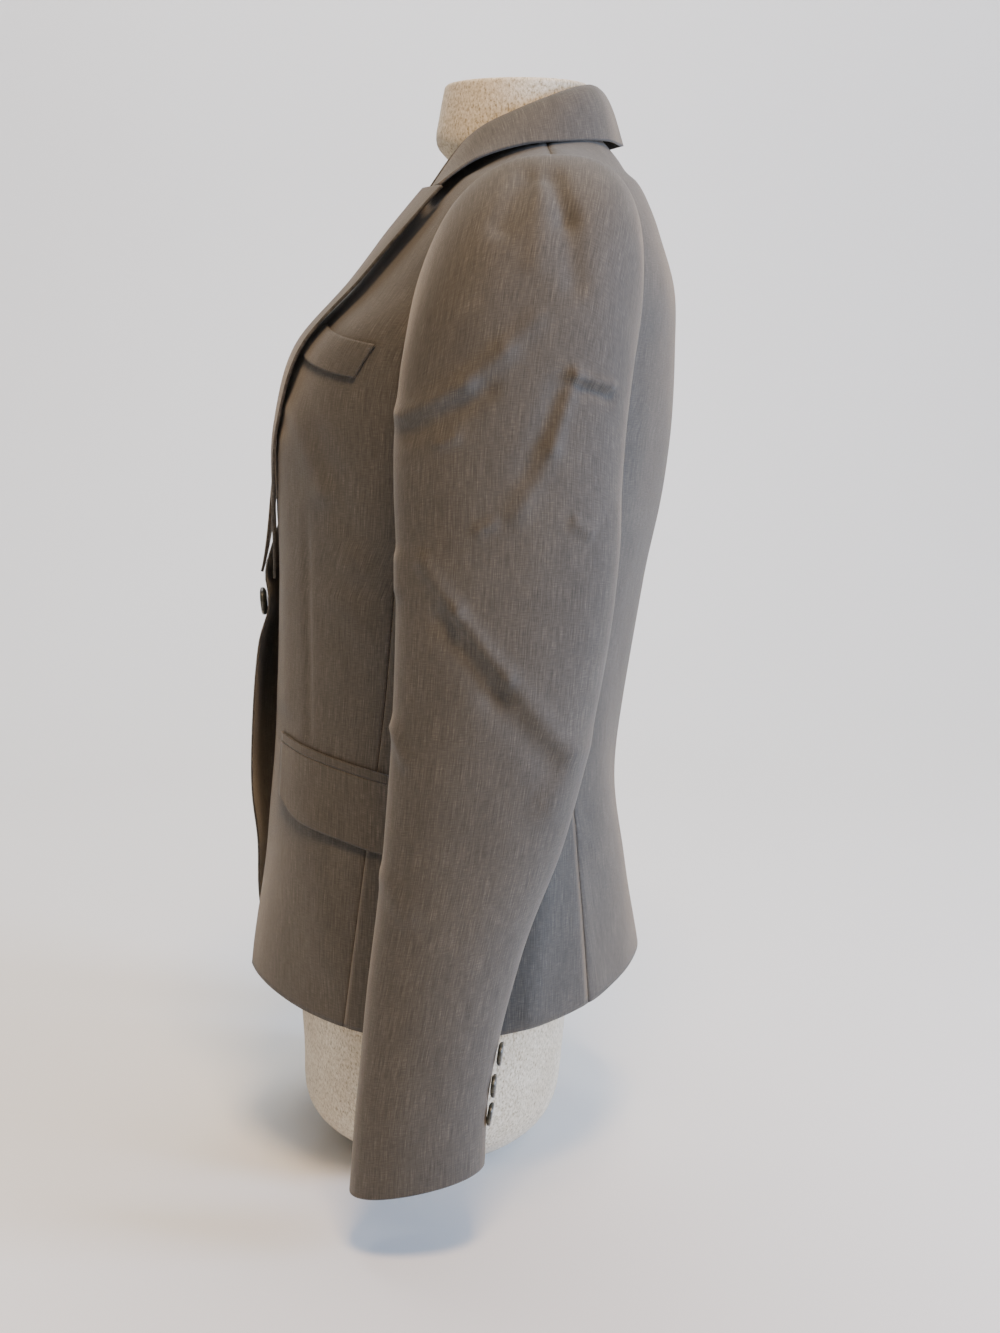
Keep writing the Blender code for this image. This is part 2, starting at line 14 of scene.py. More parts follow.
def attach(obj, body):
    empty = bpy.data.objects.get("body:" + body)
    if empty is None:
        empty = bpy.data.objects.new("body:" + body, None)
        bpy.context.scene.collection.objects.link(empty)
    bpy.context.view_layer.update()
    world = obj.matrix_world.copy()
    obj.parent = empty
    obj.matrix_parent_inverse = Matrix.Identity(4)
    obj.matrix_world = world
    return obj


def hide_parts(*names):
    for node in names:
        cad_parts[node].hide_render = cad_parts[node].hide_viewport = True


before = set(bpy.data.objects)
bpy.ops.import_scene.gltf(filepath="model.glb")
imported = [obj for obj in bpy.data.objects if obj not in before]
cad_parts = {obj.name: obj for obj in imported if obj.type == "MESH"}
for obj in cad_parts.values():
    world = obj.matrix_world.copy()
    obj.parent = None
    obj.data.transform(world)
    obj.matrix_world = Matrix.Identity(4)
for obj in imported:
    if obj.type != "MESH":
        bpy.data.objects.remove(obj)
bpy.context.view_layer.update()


# ================================================================ camera
# A hand-held camera at the wearer's left, level with the chest and tipped down a little,
# with a lens that takes in the whole form.
CAMERA_AT = (1.520, -0.0054, 0.560)
CAMERA_AZIMUTH = 88.0
CAMERA_TIP = 8.4
LENS_MM = 57.96

lens = bpy.data.cameras.new("camera")
lens.sensor_fit = "VERTICAL"
lens.sensor_height = 36.0
lens.lens = LENS_MM
camera = bpy.data.objects.new("camera", lens)
camera.location = CAMERA_AT
camera.rotation_euler = (radians(90 - CAMERA_TIP), 0, radians(CAMERA_AZIMUTH))
bpy.context.scene.collection.objects.link(camera)
bpy.context.scene.camera = camera


# ================================================================ dress form
# A half form of moulded fibreglass covered in cream linen jersey, pulled on like a sock
# and glued under the flat base.  The blazer hangs from its shoulders.
Section = namedtuple("Section", "z front back half_width power rise dip")
FORM = [Section(*row, 0.0, 0.0) for row in (
    (0.0000, -0.055, 0.055, 0.080, 2.0),
    (0.0080, -0.073, 0.073, 0.110, 2.0),
    (0.0300, -0.093, 0.088, 0.139, 2.1),
    (0.0700, -0.095, 0.093, 0.152, 2.2),
    (0.1300, -0.098, 0.098, 0.157, 2.2),
    (0.2000, -0.097, 0.106, 0.149, 2.2),
    (0.2700, -0.092, 0.110, 0.130, 2.2),
    (0.3300, -0.090, 0.119, 0.124, 2.2),
    (0.4000, -0.092, 0.136, 0.136, 2.3),
    (0.4600, -0.097, 0.149, 0.147, 2.4),
    (0.5100, -0.094, 0.157, 0.154, 2.4),
    (0.5600, -0.072, 0.161, 0.160, 2.4),
    (0.6000, -0.036, 0.160, 0.166, 2.4),
    (0.6300, -0.008, 0.151, 0.171, 2.3),
    (0.6500, 0.008, 0.143, 0.168, 2.1),
    (0.6630, 0.018, 0.136, 0.150, 2.0),
    (0.6710, 0.023, 0.129, 0.118, 2.0),
    (0.6780, 0.024, 0.121, 0.086, 2.0),
    (0.6860, 0.016, 0.1125, 0.0580, 2.0),
    (0.7000, 0.004, 0.108, 0.0518, 2.0),
    (0.7200, 0.006, 0.108, 0.0505, 2.0),
    (0.7400, 0.010, 0.109, 0.0495, 2.0),
)]
FORM_ROUND = 96
FORM_STEPS = 5            # rings between one section and the next
NECK_EDGE = 0.0025        # round of the rim at the top of the neck


def blend_rows(rows, t):
    """The row at the whole or part number t, on a smooth curve through all the rows."""
    last = len(rows) - 1
    i = min(int(max(t, 0.0)), last - 1)
    f = t - i
    p0, p1, p2, p3 = (rows[min(max(k, 0), last)] for k in (i - 1, i, i + 1, i + 2))
    return type(p1)(*(
        b + 0.5 * f * (c - a + f * (2 * a - 5 * b + 4 * c - d + f * (3 * (b - c) + d - a)))
        for a, b, c, d in zip(p0, p1, p2, p3)))


def power(value, exponent):
    return abs(value) ** exponent * (1 if value >= 0 else -1)


def ring_point(section, angle):
    """A point on a level section: angle 0 in front, pi/2 at the wearer's left."""
    e = 2 / section.power
    depth = (section.back - section.front) / 2
    mid = (section.back + section.front) / 2
    return Vector((section.half_width * power(sin(angle), e),
                   mid - depth * power(cos(angle), e),
                   section.z + section.rise * (1 - cos(angle)) / 2
                   - section.dip * sin(angle) ** 2))


def linear(hex_colour):
    """An sRGB hex colour as linear red, green, blue and alpha."""
    parts = [int(hex_colour[i:i + 2], 16) / 255 for i in (1, 3, 5)]
    return [p / 12.92 if p <= 0.04045 else ((p + 0.055) / 1.055) ** 2.4 for p in parts] + [1]


def node(tree, kind, settings=(), **links):
    """Adds a node, sets its properties and joins its inputs by name: a value or a socket."""
    made = tree.nodes.new("ShaderNode" + kind)
    for name, value in dict(settings).items():
        setattr(made, name, value)
    for name, value in links.items():
        socket = made.inputs[int(name[1:]) if name[0] == "_" else name.replace("_", " ")]
        if isinstance(value, bpy.types.NodeSocket):
            tree.links.new(value, socket)
        else:
            socket.default_value = value
    return made


def new_material(name, **values):
    """A material whose Principled shader has these plain values."""
    made = bpy.data.materials.new(name)
    made.use_nodes = True
    shader = made.node_tree.nodes["Principled BSDF"]
    for key, value in values.items():
        shader.inputs[key.replace("_", " ")].default_value = value
    return made, made.node_tree, shader


def ramp(tree, factor, *stops):
    """A colour ramp through (place, hex colour) stops."""
    made = node(tree, "ValToRGB", Fac=factor)
    stop = made.color_ramp.elements
    while len(stop) < len(stops):
        stop.new(0.5)
    for place, (at, colour) in zip(stop, stops):
        place.position = at
        place.color = linear(colour)
    return made.outputs["Color"]


def noise_on(tree, vector, per_mm, detail=2.0, rough=0.5):
    """Noise whose features are per_mm[i] millimetres long on each axis of a vector in metres."""
    scaled = node(tree, "Mapping", Vector=vector, Scale=[1000 / mm for mm in per_mm])
    return node(tree, "TexNoise", Vector=scaled.outputs["Vector"], Scale=1.0,
                Detail=detail, Roughness=rough).outputs["Fac"]


def math(tree, operation, a, b=0.0):
    """The result of one operation on two sockets or values."""
    return node(tree, "Math", {"operation": operation}, _0=a, _1=b).outputs["Value"]


# Linen jersey: uneven cream yarn with grey and straw flecks, matt and slightly fuzzy.
linen, tree, shader = new_material("linen_jersey", Roughness=0.92, Sheen_Weight=0.25,
                                   Sheen_Roughness=0.5, Specular_IOR_Level=0.25)
place = node(tree, "TexCoord").outputs["Object"]
fleck = noise_on(tree, place, (1.6, 1.6, 2.6), 3.0, 0.7)      # slubs of 1.5 to 3 mm
cloud = noise_on(tree, place, (60, 60, 60))
yarn = noise_on(tree, place, (0.9, 0.9, 0.9), 1.0)            # drawn a little coarse
tint = ramp(tree, fleck, (0.34, "#a3977f"), (0.46, "#d9cfba"), (0.60, "#efe8da"), (0.75, "#fbf6ec"))
soft = ramp(tree, cloud, (0.35, "#d9cdb6"), (0.65, "#f6f1e6"))
mixed = node(tree, "Mix", {"data_type": "RGBA", "blend_type": "MULTIPLY"},
             _0=0.55, _6=tint, _7=soft).outputs[2]
tree.links.new(mixed, shader.inputs["Base Color"])
bump = node(tree, "Bump", Strength=0.35, Distance=0.0006,
            Height=math(tree, "ADD", yarn, fleck)).outputs["Normal"]
tree.links.new(bump, shader.inputs["Normal"])


def add_piece(name, bm, finish, nodes):
    """Makes a mesh piece from bm, rides it on the part and hides the CAD parts it stands for."""
    mesh = bpy.data.meshes.new(name)
    bm.to_mesh(mesh)
    bm.free()
    mesh.materials.append(finish)
    for face in mesh.polygons:
        face.use_smooth = True
    made = bpy.data.objects.new(name, mesh)
    bpy.context.scene.collection.objects.link(made)
    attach(made, "root")
    if nodes:
        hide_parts(*nodes)
    return made


bm = bmesh.new()
steps = (len(FORM) - 1) * FORM_STEPS
loops = []
for i in range(steps + 1):
    section = blend_rows(FORM, i / FORM_STEPS)
    loop = [bm.verts.new(ring_point(section, 2 * pi * k / FORM_ROUND)) for k in range(FORM_ROUND)]
    loops.append([bm.edges.new((loop[k - 1], loop[k])) for k in range(FORM_ROUND)])
for below, above in zip(loops, loops[1:]):
    bmesh.ops.bridge_loops(bm, edges=below + above)
for rim in (loops[0], loops[-1]):
    cap = bmesh.ops.contextual_create(bm, geom=rim)["faces"][0]
bmesh.ops.bevel(bm, geom=list(cap.edges), offset=NECK_EDGE, segments=3, profile=0.5,
                affect="EDGES", material=-1)
bmesh.ops.recalc_face_normals(bm, faces=bm.faces[:])
form = add_piece("linen_form", bm, linen, ["dress_form"])
form.data.set_sharp_from_angle(angle=radians(50))


# ================================================================ wool suiting
# Tropical worsted: grey and taupe yarns twisted together, so that pale and dark streaks a
# few centimetres long run up the warp, with short slubs across them and a faint sheen.
STREAK = (0.7, 26.0, 1.0)      # width and length of a warp streak, mm
HAIR = (0.35, 9.0, 1.0)        # the finest warp streaks, drawn at the width that shows
SLUB = (6.0, 0.55, 1.0)        # a weft slub
THREAD_MM = 0.75               # thread spacing; the real 0.35 mm wouldn't show

suiting, tree, shader = new_material("worsted_suiting", Roughness=0.78, Sheen_Weight=0.35,
                                     Sheen_Roughness=0.45, Specular_IOR_Level=0.35)
shader.inputs["Sheen Tint"].default_value = linear("#cfc6ba")
grain = node(tree, "UVMap", {"uv_map": "grain"}).outputs["UV"]
streak = noise_on(tree, grain, STREAK, 3.0, 0.65)
hair = noise_on(tree, grain, HAIR, 2.0, 0.6)
slub = noise_on(tree, grain, SLUB, 2.0, 0.6)
patch = noise_on(tree, grain, (45.0, 90.0, 1.0), 2.0, 0.5)
warp = math(tree, "ADD", math(tree, "MULTIPLY", streak, 0.40), math(tree, "MULTIPLY", hair, 0.34))
blend = math(tree, "ADD", warp, math(tree, "MULTIPLY", slub, 0.26))
blend = math(tree, "ADD", blend, math(tree, "MULTIPLY", math(tree, "SUBTRACT", patch, 0.5), 0.10))
colour = ramp(tree, blend, (0.36, "#3d3b38"), (0.46, "#494641"), (0.54, "#54504a"), (0.68, "#716c62"))
tree.links.new(colour, shader.inputs["Base Color"])
rough = node(tree, "MapRange", Value=blend, From_Min=0.35, From_Max=0.65, To_Min=0.86, To_Max=0.70)
tree.links.new(rough.outputs["Result"], shader.inputs["Roughness"])
split = node(tree, "SeparateXYZ", Vector=grain)
warp_wave = math(tree, "SINE", math(tree, "MULTIPLY", split.outputs["X"], 2 * pi * 1000 / THREAD_MM))
weft_wave = math(tree, "SINE", math(tree, "MULTIPLY", split.outputs["Y"], 2 * pi * 1000 / THREAD_MM))
weave = math(tree, "MULTIPLY", warp_wave, weft_wave)
relief = math(tree, "ADD", math(tree, "MULTIPLY", weave, 0.25), math(tree, "MULTIPLY", blend, 0.7))
bump = node(tree, "Bump", Strength=0.25, Distance=0.0003, Height=relief).outputs["Normal"]
tree.links.new(bump, shader.inputs["Normal"])

# The body of the garment: level sections, hem to neck.
HEM_Z = 0.134
ARMPIT_Z = 0.485
JUNCTION_Z = 0.505
SHOULDER_Z = 0.6655
BREAK_Z = 0.400
BUTTON_Z = 0.383
OVERLAP = 0.020            # how far each front passes the centre
SEAM = 0.0003              # the gap between two pieces at a seam
CLOTH = 0.0012
BODY = tuple(Section(*row) for row in (
    (HEM_Z, -0.134, 0.147, 0.184, 2.00, 0.004, 0.018),
    (0.200, -0.121, 0.137, 0.171, 2.15, 0.000, 0.005),
    (0.262, -0.115, 0.129, 0.156, 2.20, 0.000, 0.000),
    (0.320, -0.111, 0.135, 0.150, 2.25, 0.000, 0.000),
    (0.400, -0.107, 0.148, 0.156, 2.30, 0.000, 0.000),
    (0.460, -0.106, 0.159, 0.164, 2.40, 0.000, 0.000),
    (0.510, -0.104, 0.165, 0.169, 2.50, 0.000, 0.000),
    (0.560, -0.089, 0.167, 0.173, 2.50, 0.000, 0.000),
    (0.600, -0.050, 0.166, 0.178, 2.50, 0.000, 0.000),
    (0.635, -0.018, 0.156, 0.183, 2.40, 0.000, 0.000),
    (0.655, -0.001, 0.148, 0.185, 2.30, 0.000, 0.000),
    (0.668, 0.010, 0.142, 0.180, 2.10, 0.000, 0.000),
    (0.677, 0.018, 0.136, 0.140, 2.00, 0.000, 0.000),
    (0.685, 0.025, 0.129, 0.100, 2.00, 0.004, 0.000),
    (0.692, 0.032, 0.118, 0.062, 2.00, 0.011, 0.000),
))
TINY = 1e-4
DEPTH = 1.35               # how deep the creases run, all together
NARROW = 0.80              # and how sharp
CREASE_TIP = 0.8           # in crease widths, how quickly a crease ends
CREASE_PAST = 0.6          # in crease lengths, how far past its ends it is looked for
CREASE_REACH = 3           # in crease widths, and how far to its sides

# Creases as the cloth shows them: from one point to another of the side view, with how
# far each stands out (or in, below zero) and half its width.
Crease = namedtuple("Crease", "y0 z0 y1 z1 out width")
SLEEVE_CREASES = [Crease(*row) for row in (
    (0.059, 0.577, 0.041, 0.559, 0.0010, 0.008),
    (0.041, 0.559, 0.019, 0.540, 0.0016, 0.008),
    (0.019, 0.540, -0.017, 0.522, 0.0020, 0.007),
    (0.030, 0.537, -0.012, 0.512, -0.0018, 0.008),
    (0.082, 0.545, 0.103, 0.539, 0.0022, 0.004),
    (0.080, 0.541, 0.103, 0.533, -0.0018, 0.006),
    (0.082, 0.545, 0.068, 0.503, 0.0020, 0.006),
    (0.068, 0.503, 0.048, 0.465, 0.0013, 0.008),
    (0.074, 0.537, 0.055, 0.490, -0.0016, 0.010),
    (0.083, 0.459, 0.090, 0.454, 0.0014, 0.005),
    (0.026, 0.456, 0.034, 0.460, 0.0012, 0.004),
    (0.003, 0.505, 0.012, 0.509, 0.0012, 0.004),
    (-0.006, 0.436, 0.013, 0.407, 0.0020, 0.006),
    (0.013, 0.407, 0.043, 0.367, 0.0026, 0.0055),
    (0.043, 0.367, 0.079, 0.322, 0.0018, 0.008),
    (0.004, 0.402, 0.036, 0.358, -0.0026, 0.009),
    (0.036, 0.358, 0.070, 0.312, -0.0016, 0.012),
    (-0.025, 0.333, -0.017, 0.315, 0.0016, 0.004),
    (-0.021, 0.436, -0.021, 0.417, 0.0012, 0.005),
    (-0.030, 0.240, -0.018, 0.221, 0.0012, 0.008),
    (0.085, 0.322, 0.070, 0.290, 0.0020, 0.012),
    (0.056, 0.660, 0.040, 0.632, -0.0022, 0.009),
    (0.071, 0.660, 0.078, 0.636, -0.0026, 0.008),
    (0.078, 0.636, 0.082, 0.598, -0.0018, 0.010),
    (0.064, 0.655, 0.060, 0.610, 0.0010, 0.009),
)]
BODY_CREASES = [Crease(*row) for row in (
    (-0.092, 0.520, -0.070, 0.468, 0.0020, 0.010),
    (-0.070, 0.468, -0.050, 0.420, 0.0012, 0.012),
    (-0.078, 0.500, -0.055, 0.440, -0.0016, 0.014),
    (-0.098, 0.500, -0.100, 0.320, 0.0012, 0.008),
    (-0.060, 0.400, -0.030, 0.360, 0.0012, 0.014),
    (-0.080, 0.250, -0.070, 0.160, 0.0014, 0.016),
    (0.060, 0.290, 0.100, 0.250, -0.0016, 0.014),
    (0.070, 0.270, 0.110, 0.226, 0.0014, 0.010),
    (0.075, 0.240, 0.060, 0.130, 0.0022, 0.012),
    (0.105, 0.230, 0.120, 0.140, -0.0016, 0.016),
    (0.110, 0.420, 0.080, 0.330, 0.0014, 0.014),
    (0.130, 0.560, 0.120, 0.480, -0.0014, 0.016),
)]


def crease_at(creases, y, z):
    """How far the cloth stands out at a point of the side view."""
    total = 0.0
    for c in creases:
        along = Vector((c.y1 - c.y0, c.z1 - c.z0))
        length = along.length
        off = Vector((y - c.y0, z - c.z0))
        part = off.dot(along) / (length * length)
        across = abs(off.x * along.y - off.y * along.x) / length
        if across > CREASE_REACH * c.width * NARROW or abs(part - 0.5) > CREASE_PAST + 0.5:
            continue
        past = max(0.0, -part, part - 1) * length
        total += c.out * exp(-(across / c.width / NARROW) ** 2 - (past / (CREASE_TIP * c.width)) ** 2)
    return total


DRAPE_SIZE = 0.075         # how wide the slow unevenness of hanging cloth is
DRAPE_HEIGHT = 0.0016
DRAPE_LENGTHEN = 0.45      # below 1, it runs longer up and down than across
RIPPLE = 2.3               # how much finer the second layer of it is
RIPPLE_LENGTHEN = 0.6
RIPPLE_SHARE = 0.4


def drape(point):
    """The slow unevenness of hanging cloth: one value for a place, whichever piece asks."""
    slow = Vector((point.x, point.y, point.z * DRAPE_LENGTHEN)) / DRAPE_SIZE
    quick = Vector((point.x, point.y, point.z * RIPPLE_LENGTHEN)) * RIPPLE / DRAPE_SIZE
    return (noise.noise(slow) + RIPPLE_SHARE * noise.noise(quick)) * DRAPE_HEIGHT


@lru_cache(maxsize=200000)
def row_number(rows, z, column="z"):
    """The row number t at which a column that rises row by row reaches the value z."""
    low, high = 0.0, len(rows) - 1.0
    for _ in range(22):
        mid = (low + high) / 2
        if getattr(blend_rows(rows, mid), column) < z:
            low = mid
        else:
            high = mid
    return (low + high) / 2


@lru_cache(maxsize=200000)
def at_height(rows, z, column="z"):
    return blend_rows(rows, row_number(rows, z, column))


def body_point(angle, t, out=0.0):
    """A point on the body of the garment, moved out along the surface's normal."""
    point = ring_point(blend_rows(BODY, t), angle)
    if not out:
        return point
    round_ = (ring_point(blend_rows(BODY, t), angle + TINY)
              - ring_point(blend_rows(BODY, t), angle - TINY))
    up = (ring_point(blend_rows(BODY, t + TINY), angle)
          - ring_point(blend_rows(BODY, t - TINY), angle))
    return point + round_.cross(up).normalized() * out


def angle_at_x(t, x):
    section = blend_rows(BODY, t)
    part = max(-1.0, min(1.0, x / section.half_width))
    return asin(power(part, section.power / 2))


def angle_at_y(t, y):
    section = blend_rows(BODY, t)
    depth = (section.back - section.front) / 2
    part = ((section.back + section.front) / 2 - y) / depth
    return acos(power(max(-1.0, min(1.0, part)), section.power / 2))


def front_point(x, z, out):
    t = row_number(BODY, z)
    return body_point(angle_at_x(t, x), t, out)


def side_point(y, z, out):
    t = row_number(BODY, z)
    return body_point(angle_at_y(t, y), t, out)


SEAM_DENT = 0.0007         # how deep a pressed seam sinks, and over what distance
SEAM_DENT_WIDTH = 0.0022
SEAM_HOLD = 0.012          # how near a seam holds creases flatter
HELD_SHARE = 0.35          # what is left of a crease right at a seam
CUT_STEP = 0.37            # moves each piece to its own place on the bolt
BOLT = 5


def cloth(name, surface, across, along, nodes, mirrored=False, creases=(), edges="",
          thickness=CLOTH, side=1, seed=0.0,
          turned=False):
    """A piece of cloth on surface(u, v), with creases, sunk seams and its own grain.

    edges names the sides of the piece that are sewn: l and r for u 0 and 1, b and t for
    v 0 and 1.  side is -1 where v runs the other way round the body, and turned is for a
    piece whose warp runs along u.
    """
    bm = bmesh.new()
    bmesh.ops.create_grid(bm, x_segments=across, y_segments=along, size=0.5)
    bm.verts.ensure_lookup_table()
    grid = {(round((v.co.x + 0.5) * across), round((v.co.y + 0.5) * along)): v for v in bm.verts}
    base = {key: surface(key[0] / across, key[1] / along) for key in grid}
    run = {}
    mid = across // 2
    rise = [0.0]
    for j in range(1, along + 1):
        rise.append(rise[-1] + (base[mid, j] - base[mid, j - 1]).length)
    for j in range(along + 1):
        run[0, j] = 0.0
        for i in range(1, across + 1):
            run[i, j] = run[i - 1, j] + (base[i, j] - base[i - 1, j]).length
    for (i, j), vert in grid.items():
        a = base[min(i + 1, across), j] - base[max(i - 1, 0), j]
        b = base[i, min(j + 1, along)] - base[i, max(j - 1, 0)]
        normal = a.cross(b).normalized() * side
        point = base[i, j]
        reach = {"l": run[i, j], "r": run[across, j] - run[i, j],
                 "b": rise[j], "t": rise[along] - rise[j]}
        near = min([reach[e] for e in edges], default=1.0)
        sink = exp(-(near / SEAM_DENT_WIDTH) ** 2) * SEAM_DENT
        free = HELD_SHARE + (1 - HELD_SHARE) * min(1.0, near / SEAM_HOLD)
        out = drape(point + Vector((0, seed, 0)))
        if creases:
            out += crease_at(creases, point.y, point.z) * free * DEPTH
        vert.co = point + normal * (out - sink)
        if mirrored:
            vert.co.x = -vert.co.x
    grain = bm.loops.layers.uv.new("grain")
    lookup = {vert: key for key, vert in grid.items()}
    shift = CUT_STEP * sum(map(ord, name)) % BOLT
    for face in bm.faces:
        for loop in face.loops:
            i, j = lookup[loop.vert]
            place = (run[i, j] - run[mid, j] + shift, rise[j] + shift)
            loop[grain].uv = place[::-1] if turned else place
    area = sum(face.calc_area() for face in bm.faces)
    bm.normal_update()
    middle = grid[mid, along // 2]
    want = (base[mid + 1, along // 2] - base[mid, along // 2]).cross(
        base[mid, along // 2 + 1] - base[mid, along // 2]) * side
    if mirrored:
        want.x = -want.x
    if middle.normal.dot(want) < 0:
        bmesh.ops.reverse_faces(bm, faces=bm.faces[:])
    made = add_piece("wool_" + name, bm, suiting, nodes)
    wall = made.modifiers.new("thickness", "SOLIDIFY")
    wall.thickness = thickness
    wall.offset = -1.0


# ================================================================ fronts, sides and backs
# Three pieces to each half: a front with a dart down from the bust, a side panel and a
# back, sewn edge to edge and pressed open.  The right front laps over the left, held by
# one button, and stands off it below.
Seam = namedtuple("Seam", "z fore aft")
SIDE_SEAMS = tuple(Seam(*row) for row in (
    (HEM_Z, -0.061, 0.102),
    (0.233, -0.046, 0.096),
    (0.336, -0.032, 0.090),
    (JUNCTION_Z, -0.0165, 0.0912),
))
ARMHOLE_MID_Z = 0.560
ARMHOLE_HALF_DEPTH = 0.068
ARMHOLE_POWER = 2.6
ARMHOLE_LEAN = 0.23
ARMHOLE_MID_Y = 0.050
Edge = namedtuple("Edge", "z x")
FRONT_EDGE = tuple(Edge(*row) for row in (
    (HEM_Z, -0.050), (0.165, -0.030), (0.205, -0.010), (0.250, 0.010), (0.300, OVERLAP),
    (BREAK_Z, OVERLAP)))
Stand = namedtuple("Stand", "z out")
STAND_OFF = tuple(Stand(*row) for row in (
    (HEM_Z, 0.003), (0.200, 0.008), (0.260, 0.015), (0.310, 0.016), (0.355, 0.014),
    (BUTTON_Z, 0.0080), (0.410, 0.013)))
Lapel = namedtuple("Lapel", "roll_x roll_z edge_x edge_z roll_out edge_out")
LAPEL = tuple(Lapel(*row) for row in (
    (0.0180, 0.402, 0.0205, 0.4015, 0.0030, 0.0030),
    (0.0240, 0.440, 0.0370, 0.4300, 0.0030, 0.0035),
    (0.0310, 0.480, 0.0540, 0.4680, 0.0030, 0.0040),
    (0.0370, 0.520, 0.0690, 0.5080, 0.0030, 0.0045),
    (0.0430, 0.560, 0.0830, 0.5500, 0.0045, 0.0060),
    (0.0470, 0.600, 0.0980, 0.5940, 0.0085, 0.0080),
    (0.0490, 0.630, 0.1070, 0.6290, 0.0125, 0.0085),
    (0.0500, 0.657, 0.1130, 0.6580, 0.0135, 0.0070),
))
ROLL_SHARE = 0.5
LAP_END = 0.065
LAP_EASE = 0.040
LAP_RISE = 0.05            # how far above the break the front lies down again
ROLL_FADE = 0.03           # how far out from the roll line its stand-off fades
NECKLINE_SPREAD = 0.008
DART_TOP_Z = 0.460
DART_END_Z = 0.300
DART_Y = -0.084           # in the side view
DART_DEPTH = 0.0016
DART_WIDTH = 0.0028
DART_FADE = 0.03          # over what height it fades out at the bust
JUNCTION_T = row_number(BODY, JUNCTION_Z)
SHOULDER_T = row_number(BODY, SHOULDER_Z)
NECK_T = len(BODY) - 1.0
LEVELS = (0.50, 0.32, 0.18)   # share of a panel's rows below the junction, armhole, above


def level(v):
    if v <= LEVELS[0]:
        return JUNCTION_T * v / LEVELS[0]
    v -= LEVELS[0]
    if v <= LEVELS[1]:
        return JUNCTION_T + (SHOULDER_T - JUNCTION_T) * v / LEVELS[1]
    return SHOULDER_T + (NECK_T - SHOULDER_T) * (v - LEVELS[1]) / LEVELS[2]


def armhole_half_depth(z):
    reach = (SHOULDER_Z if z > ARMHOLE_MID_Z else ARMPIT_Z) - ARMHOLE_MID_Z
    part = min(1.0, abs((z - ARMHOLE_MID_Z) / reach))
    return ARMHOLE_HALF_DEPTH * (1 - part ** ARMHOLE_POWER) ** (1 / ARMHOLE_POWER)


def armhole_mid(z):
    return ARMHOLE_MID_Y + ARMHOLE_LEAN * (z - ARMHOLE_MID_Z)


def side_edge(t, fore):
    """Angle at which a front (fore) or back panel ends at the side, at section t."""
    z = blend_rows(BODY, t).z
    half = SEAM / 2 * (-1 if fore else 1)
    if t < JUNCTION_T:
        seam = at_height(SIDE_SEAMS, z)
        return angle_at_y(t, (seam.fore if fore else seam.aft) + half)
    if t < SHOULDER_T:
        return angle_at_y(t, armhole_mid(z) + armhole_half_depth(z) * (-1 if fore else 1) + half)
    section = blend_rows(BODY, t)
    return angle_at_y(t, (section.front + section.back) / 2 + half)


def front_edge_x(z):
    """X of a front's own edge on its own side of the centre: negative past it."""
    if z < BREAK_Z:
        return -at_height(FRONT_EDGE, z).x
    roll = at_height(LAPEL, min(z, LAPEL[-1].roll_z), "roll_z")
    part = min(1.0, (z - BREAK_Z) / (LAPEL[1].roll_z - BREAK_Z))
    above = max(0.0, (z - LAPEL[-1].roll_z) / (BODY[-1].z - LAPEL[-1].roll_z))
    return -OVERLAP + (roll.roll_x + OVERLAP) * part + NECKLINE_SPREAD * above


def lap(x, z, upper):
    """How far a front stands out near the centre, for its X on its own side."""
    near = max(0.0, min(1.0, (LAP_END - x) / LAP_EASE))
    ease = near * near * (3 - 2 * near)
    if z > BREAK_Z:
        rise = min(1.0, (z - BREAK_Z) / LAP_RISE)
        roll = at_height(LAPEL, min(z, LAPEL[-1].roll_z), "roll_z")
        low = at_height(STAND_OFF, min(z, STAND_OFF[-1].z)).out * (1 - rise) if upper else 0.0
        fall = max(0.0, 1 - max(0.0, x - roll.roll_x) / ROLL_FADE)
        return roll.roll_out * ROLL_SHARE * rise * fall * fall + low * ease
    return at_height(STAND_OFF, z).out * ease if upper else 0.0


def dart(y, z):
    """The pressed line of the front dart, fading out at the bust and at the pocket."""
    if not DART_END_Z < z < DART_TOP_Z:
        return 0.0
    fade = min(1.0, (DART_TOP_Z - z) / DART_FADE)
    return -DART_DEPTH * exp(-((y - DART_Y) / DART_WIDTH) ** 2) * fade


def front_surface(upper):
    def surface(u, v):
        t = level(v)
        z = blend_rows(BODY, t).z
        inner = angle_at_x(t, front_edge_x(z))
        angle = inner + (side_edge(t, True) - inner) * u
        point = ring_point(blend_rows(BODY, t), angle)
        return body_point(angle, t, lap(point.x, z, upper) + dart(point.y, z) + 1e-9)
    return surface


def side_surface(u, v):
    t_low = level(v * LEVELS[0])
    low = blend_rows(BODY, t_low)
    seam = at_height(SIDE_SEAMS, low.z)
    y = seam.fore + SEAM / 2 + (seam.aft - seam.fore - SEAM) * u
    sag = max(0.0, 1 - (2 * u - 1) ** 2) * (JUNCTION_Z - ARMPIT_Z) * v ** 4
    t = row_number(BODY, low.z - sag)
    return body_point(angle_at_y(t, y), t)


def back_surface(u, v):
    t = level(v)
    outer = side_edge(t, False)
    return body_point(outer + (pi - angle_at_x(t, SEAM / 2) - outer) * u, t)


for side, mirrored in (("left", False), ("right", True)):
    seed = 0.4 if mirrored else 0.0
    cloth("front_" + side, front_surface(mirrored), 70, 150, ["front_" + side], mirrored,
          BODY_CREASES, "r", seed=seed)
    cloth("side_panel_" + side, side_surface, 40, 76, ["side_panel_" + side], mirrored,
          BODY_CREASES, "lrt", seed=seed)
    cloth("back_" + side, back_surface, 60, 150, ["back_" + side], mirrored,
          BODY_CREASES, "lr", seed=seed)


